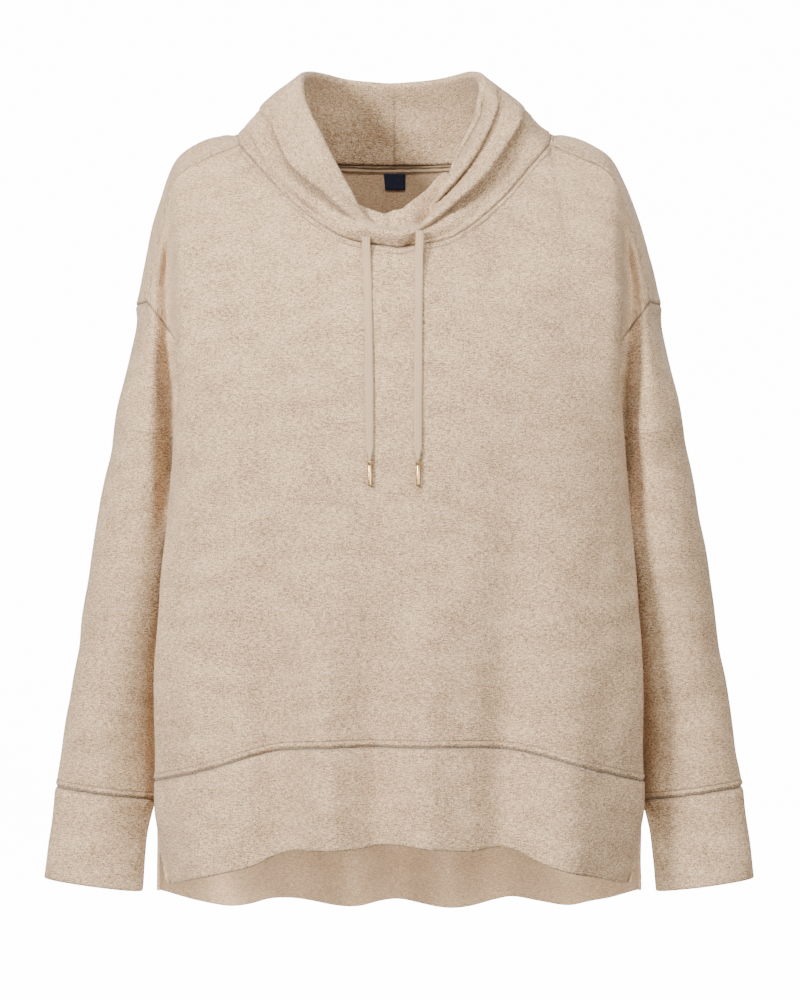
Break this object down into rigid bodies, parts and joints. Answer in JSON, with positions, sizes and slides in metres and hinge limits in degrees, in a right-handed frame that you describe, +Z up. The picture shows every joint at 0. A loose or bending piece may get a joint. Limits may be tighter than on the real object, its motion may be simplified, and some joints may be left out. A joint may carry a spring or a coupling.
{
  "type": "cowl neck sweatshirt",
  "caption": "Relaxed drop-shoulder fleece sweatshirt with a cowl collar, flat drawcord ends, cuffs and a split hem band, filled out and hollow.",
  "frame": {"origin": "middle of the neck base, between the two shoulder neck points, where the wearer's shoulders hold the garment", "axes": "+Z up, -Y out of the front, +X to the wearer's left"},
  "size_m": [0.6534, 0.246, 0.776],
  "materials": {
    "fleece": "matte brushed marl",
    "pocket_cloth": "matte knit",
    "tape": "matte twill",
    "label": "woven satin",
    "cord": "matte flat braid",
    "tip": "satin"
  },
  "bodies": {
    "root": {"front": "fleece", "back": "fleece", "sleeve_left": "fleece", "sleeve_right": "fleece", "cuff_left": "fleece", "cuff_right": "fleece", "hem_band_front": "fleece", "hem_band_back": "fleece", "collar": "fleece", "pocket_bag_left": "pocket_cloth", "pocket_bag_right": "pocket_cloth", "neck_tape": "tape", "neck_label": "label", "drawcord_left": "cord", "drawcord_right": "cord", "cord_tip_left": "tip", "cord_tip_right": "tip"}
  },
  "joints": []
}
